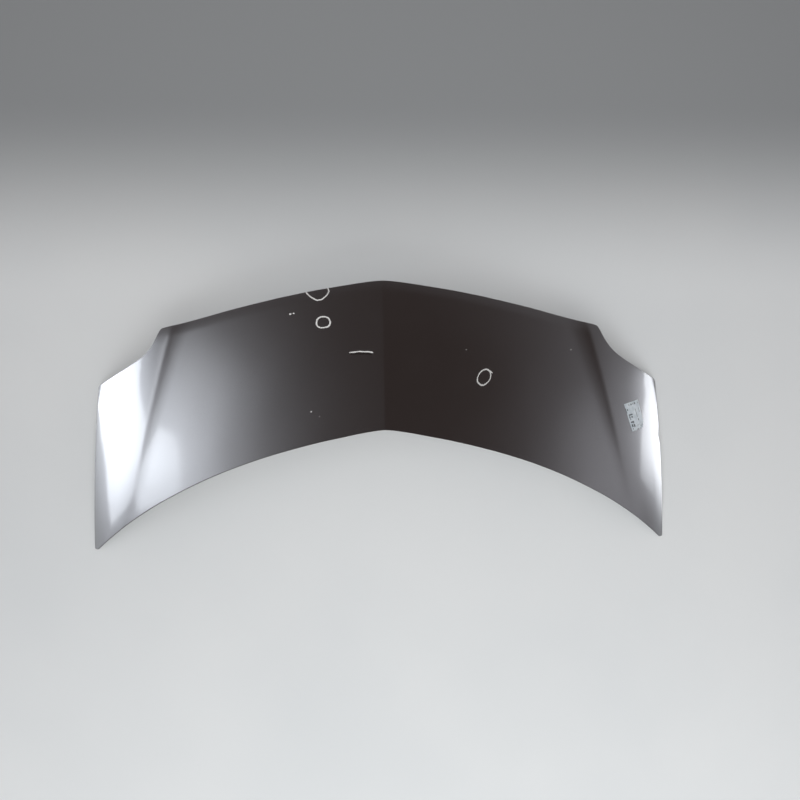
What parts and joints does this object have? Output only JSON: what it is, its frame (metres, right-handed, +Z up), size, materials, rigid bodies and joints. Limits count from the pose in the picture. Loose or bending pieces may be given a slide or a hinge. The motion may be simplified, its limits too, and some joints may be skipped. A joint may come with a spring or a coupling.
{
  "type": "car bonnet",
  "caption": "Painted sheet steel bonnet of a small people carrier, with a centre ridge, swept wings, headlamp cut-outs, and a ribbed inner panel with lock striker and rubber buffers.",
  "frame": {"origin": "on the surface that the bonnet lies on, under the middle of its outline", "axes": "+X to the right-hand side of the car, +Y to the front edge, +Z up out of the painted side"},
  "size_m": [1.5522, 0.6921, 0.2074],
  "materials": {
    "dark_metallic_paint": "glossy dark grey-brown metallic paint under clear coat, with crayon marks and light dust",
    "inner_paint": "thin satin overspray of the body colour",
    "primed_steel": "matt grey dip primer",
    "zinc_plated_steel": "dull zinc plating",
    "buffer_rubber": "matt moulded rubber",
    "mastic": "matt expanded mastic",
    "black_plastic": "fine-grained moulded plastic",
    "label_paper": "thin plastic film label, wrinkled, one corner torn, with plain grey bars"
  },
  "bodies": {
    "root": {"outer_skin": "dark_metallic_paint", "inner_panel": "inner_paint", "hinge_reinforcement_left": "primed_steel", "hinge_nut_left_front": "zinc_plated_steel", "hinge_nut_left_rear": "zinc_plated_steel", "lock_nut_left": "zinc_plated_steel", "striker_bolt_left": "zinc_plated_steel", "buffer_front_left": "buffer_rubber", "buffer_side_left": "buffer_rubber", "mastic_centre_left": "mastic", "mastic_centre_rear_left": "mastic", "mastic_middle_left": "mastic", "mastic_middle_front_left": "mastic", "mastic_outer_left": "mastic", "mastic_outer_rear_left": "mastic", "hinge_reinforcement_right": "primed_steel", "hinge_nut_right_front": "zinc_plated_steel", "hinge_nut_right_rear": "zinc_plated_steel", "lock_nut_right": "zinc_plated_steel", "striker_bolt_right": "zinc_plated_steel", "buffer_front_right": "buffer_rubber", "buffer_side_right": "buffer_rubber", "mastic_centre_right": "mastic", "mastic_centre_rear_right": "mastic", "mastic_middle_right": "mastic", "mastic_middle_front_right": "mastic", "mastic_outer_right": "mastic", "mastic_outer_rear_right": "mastic", "lock_reinforcement": "primed_steel", "striker_plate": "zinc_plated_steel", "striker_loop": "zinc_plated_steel", "stay_socket": "black_plastic", "stock_label": "label_paper"}
  },
  "joints": []
}
